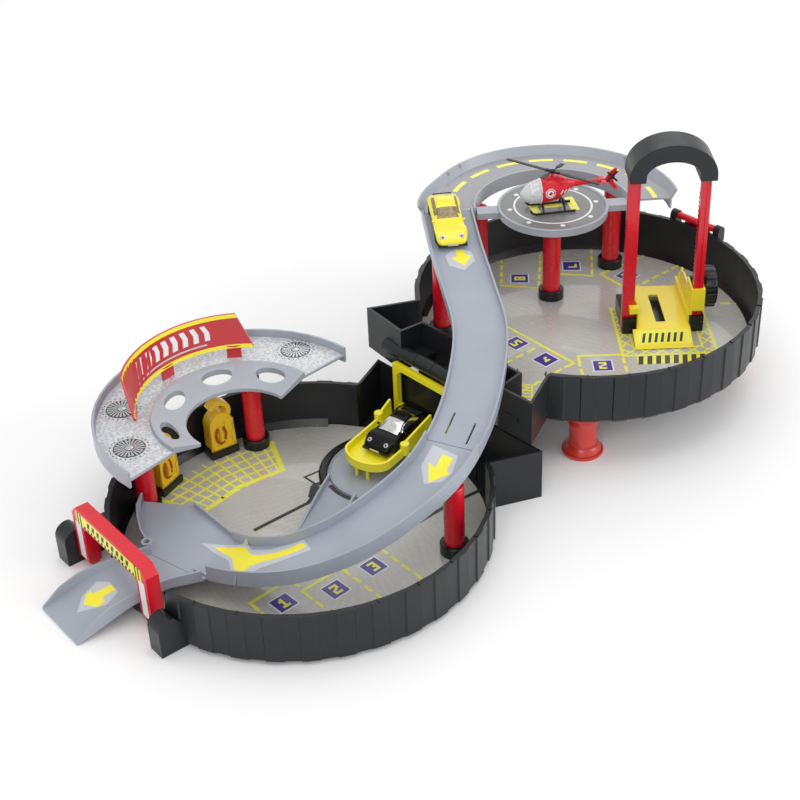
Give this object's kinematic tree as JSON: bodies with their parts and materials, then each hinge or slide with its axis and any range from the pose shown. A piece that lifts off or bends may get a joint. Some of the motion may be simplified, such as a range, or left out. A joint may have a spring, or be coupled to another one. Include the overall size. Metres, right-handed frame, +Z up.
{
  "type": "toy parking garage with lift",
  "caption": "Toy parking garage that opens from a round carry case into two trays, with ring deck, helipad, hand-cranked lift, curved ramp, workshop deck, gate and small vehicles.",
  "frame": {"origin": "centre of the lower tray's underside, on the ground", "axes": "+Z up, +X from the lower tray to the raised upper tray, +Y to the back, away from the viewer of the picture"},
  "size_m": [0.6832, 0.3343, 0.228],
  "materials": {
    "case_black": "semi-gloss moulded plastic",
    "printed_card": "printed and laminated sheet",
    "frame_red": "glossy moulded plastic",
    "ramp_grey": "satin moulded plastic",
    "deck_grey": "satin moulded plastic",
    "lift_yellow": "glossy moulded plastic",
    "hoist_yellow": "glossy moulded plastic",
    "pin_steel": "drawn wire",
    "yellow_enamel": "glossy enamel over die-cast zinc",
    "black_enamel": "glossy enamel over die-cast zinc",
    "car_base": "moulded plastic",
    "wheel_black": "moulded plastic",
    "canopy_clear": "clear moulded bubble"
  },
  "bodies": {
    "base": {"lower_tray": "case_black", "upper_tray": "case_black", "lower_floor_card": "printed_card", "upper_floor_card": "printed_card", "case_hinge_pin": "pin_steel", "foot_inner_front": "frame_red", "foot_inner_back": "frame_red", "foot_outer_front": "frame_red", "foot_outer_back": "frame_red", "ring_deck": "deck_grey", "helipad": "deck_grey", "helipad_post": "frame_red", "ring_post_right": "frame_red", "ring_post_back": "frame_red", "workshop_deck": "deck_grey", "workshop_post_right": "frame_red", "workshop_post_left": "frame_red", "billboard": "frame_red", "upper_ramp": "ramp_grey", "lower_ramp": "ramp_grey", "upper_ramp_post": "frame_red", "lower_ramp_post": "frame_red", "exit_chute": "ramp_grey", "pump_base_right": "case_black", "fuel_pump_right": "lift_yellow", "pump_base_left": "case_black", "fuel_pump_left": "lift_yellow", "launch_lane": "ramp_grey", "hoist_frame": "hoist_yellow", "hoist_pin": "pin_steel", "lift_rail_left": "frame_red", "lift_base_left": "case_black", "lift_rail_right": "frame_red", "lift_base_right": "case_black", "lift_cap": "case_black", "yellow_car_body": "yellow_enamel", "yellow_car_chassis": "car_base", "helicopter_body": "frame_red", "helicopter_canopy": "canopy_clear", "helicopter_skids": "case_black"},
    "arch": {"entrance_arch": "frame_red"},
    "cabin": {"lift_cabin": "lift_yellow"},
    "knob": {"lift_knob": "case_black", "lift_pinion": "case_black"},
    "turntable": {"turntable": "deck_grey"},
    "hoist": {"hoist_platform": "hoist_yellow", "black_car_body": "black_enamel", "black_car_chassis": "car_base"},
    "latch": {"latch_bar": "frame_red"},
    "yellow_rear_axle": {"yellow_car_rear_wheels": "wheel_black"},
    "yellow_front_axle": {"yellow_car_front_wheels": "wheel_black"},
    "black_rear_axle": {"black_car_rear_wheels": "wheel_black"},
    "black_front_axle": {"black_car_front_wheels": "wheel_black"},
    "main_rotor": {"main_rotor": "case_black"},
    "tail_rotor": {"tail_rotor": "case_black"}
  },
  "joints": [
    {"name": "arch_hinge", "type": "hinge", "parent": "base", "child": "arch", "pos_m": [-0.14301, 0.04116, 0.0125], "axis": [-0.0611, -0.9981, 0], "range_deg": [0, 55]},
    {"name": "lift_slide", "type": "slide", "parent": "base", "child": "cabin", "axis": [0, 0, 1], "range_m": [0, 0.084]},
    {"name": "knob_turn", "type": "hinge", "parent": "cabin", "child": "knob", "pos_m": [0.40171, -0.06418, 0.083], "axis": [0.7513, -0.66, 0], "range_deg": [0, 602]},
    {"name": "turntable_turn", "type": "hinge", "parent": "base", "child": "turntable", "pos_m": [0.094, 0.014, 0.005], "axis": [0, 0, 1], "continuous": true},
    {"name": "hoist_tilt", "type": "hinge", "parent": "base", "child": "hoist", "pos_m": [0.147, 0.0296, 0.018], "axis": [-0.1908, 0.9816, 0], "range_deg": [0, 20]},
    {"name": "latch_swing", "type": "hinge", "parent": "base", "child": "latch", "pos_m": [0.4789, 0, 0.0936], "axis": [0, -1, 0], "range_deg": [0, 180]},
    {"name": "yellow_rear_roll", "type": "hinge", "parent": "base", "child": "yellow_rear_axle", "pos_m": [0.26587, 0.11435, 0.14637], "axis": [0.8213, -0.5705, 0], "continuous": true},
    {"name": "yellow_front_roll", "type": "hinge", "parent": "base", "child": "yellow_front_axle", "pos_m": [0.24469, 0.08386, 0.13826], "axis": [0.8213, -0.5705, 0], "continuous": true},
    {"name": "black_rear_roll", "type": "hinge", "parent": "hoist", "child": "black_rear_axle", "pos_m": [0.13849, 0.02489, 0.02809], "axis": [0.1908, -0.9816, 0], "continuous": true},
    {"name": "black_front_roll", "type": "hinge", "parent": "hoist", "child": "black_front_axle", "pos_m": [0.10123, 0.01765, 0.02639], "axis": [0.1908, -0.9816, 0], "continuous": true},
    {"name": "main_rotor_spin", "type": "hinge", "parent": "base", "child": "main_rotor", "pos_m": [0.338, 0.053, 0.1765], "axis": [0, 0, 1], "continuous": true},
    {"name": "tail_rotor_spin", "type": "hinge", "parent": "base", "child": "tail_rotor", "pos_m": [0.3808, 0.02175, 0.167], "axis": [-0.5446, -0.8387, 0], "continuous": true}
  ],
  "couplings": [
    {"joint": "knob_turn", "follows": "lift_slide", "rad_per_m": 125}
  ]
}
